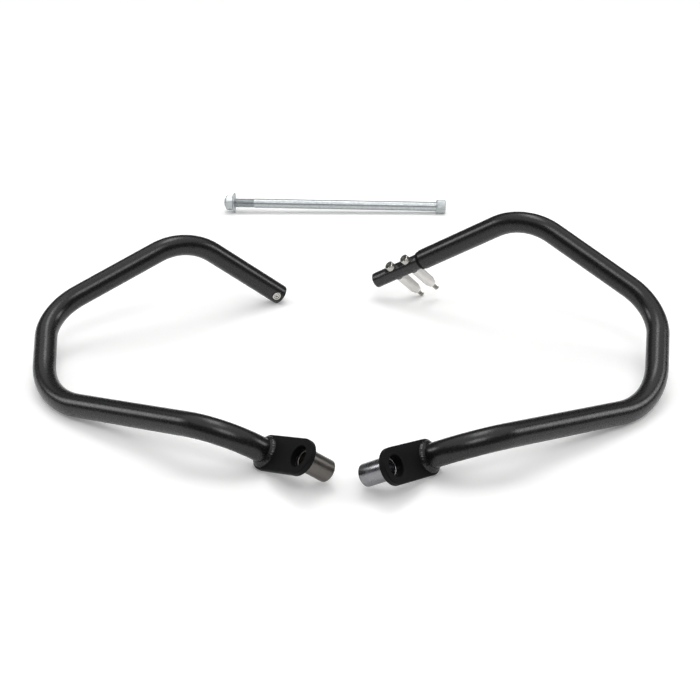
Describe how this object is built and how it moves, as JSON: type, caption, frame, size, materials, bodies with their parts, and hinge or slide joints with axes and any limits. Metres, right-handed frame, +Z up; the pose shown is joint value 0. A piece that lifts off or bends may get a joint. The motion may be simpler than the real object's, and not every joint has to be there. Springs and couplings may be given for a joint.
{
  "type": "engine guard",
  "caption": "Mirrored bent-tube engine guard bars for a motorbike with welded mount plates, frame spacers, a drilled mounting bar with sleeved screws, and a through bolt with its nut.",
  "frame": {"origin": "middle of the layout's bounding box, on the floor it lies on", "axes": "+Z up, -Y towards the side it is pictured from, +X to the right as seen from there; the through bolt lies at the +Y end"},
  "size_m": [0.627, 0.6914, 0.1294],
  "materials": {
    "powder_coat": "satin black powder coat",
    "plate_black": "matte black powder coat",
    "weld_black": "satin black powder coat over a weld bead",
    "mount_bar_black": "satin black powder coat",
    "spacer_dark": "dark grey zinc plate, satin",
    "spacer_bright": "grey zinc plate, satin",
    "stainless": "bright stainless steel",
    "sleeve_aluminium": "pale satin aluminium",
    "zinc": "bluish zinc plate"
  },
  "bodies": {
    "root": {"left_guard_tube": "powder_coat", "left_mount_plate": "plate_black", "left_frame_spacer": "spacer_dark", "left_tube_weld": "weld_black", "left_spacer_weld": "weld_black", "left_clamp_bush": "stainless", "left_clamp_screw": "stainless", "right_guard_tube": "powder_coat", "right_mount_plate": "plate_black", "right_frame_spacer": "spacer_bright", "right_tube_weld": "weld_black", "right_spacer_weld": "weld_black", "right_bar_collar": "plate_black", "right_mount_bar": "mount_bar_black", "right_mount_screw_inboard": "stainless", "right_mount_screw_outboard": "stainless", "right_mount_sleeve_inboard": "sleeve_aluminium", "right_mount_sleeve_outboard": "sleeve_aluminium", "through_bolt": "zinc", "flange_nut": "zinc"}
  },
  "joints": []
}
